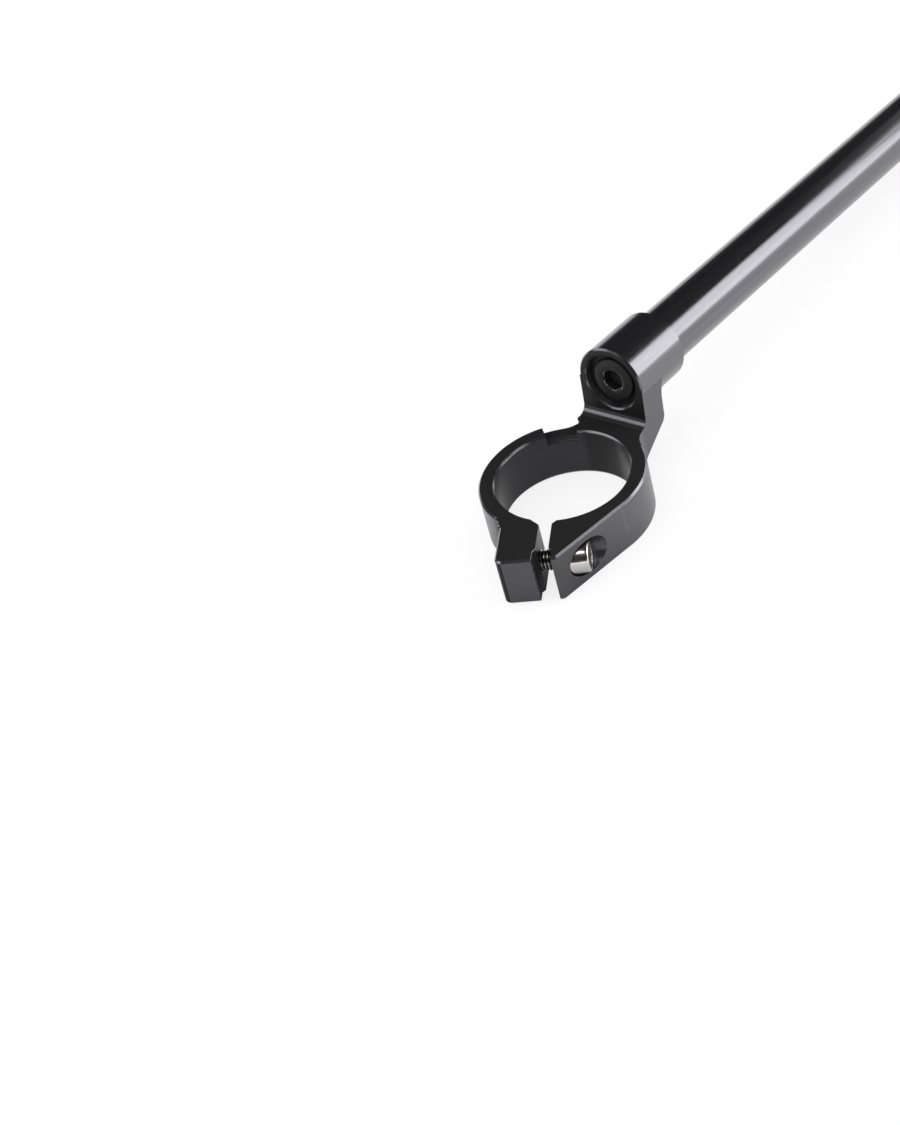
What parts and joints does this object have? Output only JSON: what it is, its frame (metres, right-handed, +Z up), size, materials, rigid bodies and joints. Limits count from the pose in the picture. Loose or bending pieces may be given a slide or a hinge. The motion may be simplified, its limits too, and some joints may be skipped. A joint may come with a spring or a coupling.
{
  "type": "clip-on handlebar",
  "caption": "Split fork clamp ring with a raised bar socket on one side, a straight handlebar tube held in it by a socket screw, and a pinch screw across the split.",
  "frame": {"origin": "on the axis of the fork clamp, half-way up its bore", "axes": "+Z up along the fork tube; +X the horizontal direction in which the bar points, the bar itself slopes down from it"},
  "size_m": [0.3643, 0.063, 0.0496],
  "materials": {
    "clamp": "black anodised, bead blasted faces and satin walls",
    "bar": "black anodised, drawn tube with fine lengthwise lines",
    "insert": "turned",
    "dark_screw": "black oxide",
    "bright_screw": "bright zinc"
  },
  "bodies": {
    "root": {"clamp": "clamp", "bar_tube": "bar", "tube_insert": "insert", "bar_screw": "dark_screw", "pinch_screw": "bright_screw"}
  },
  "joints": []
}
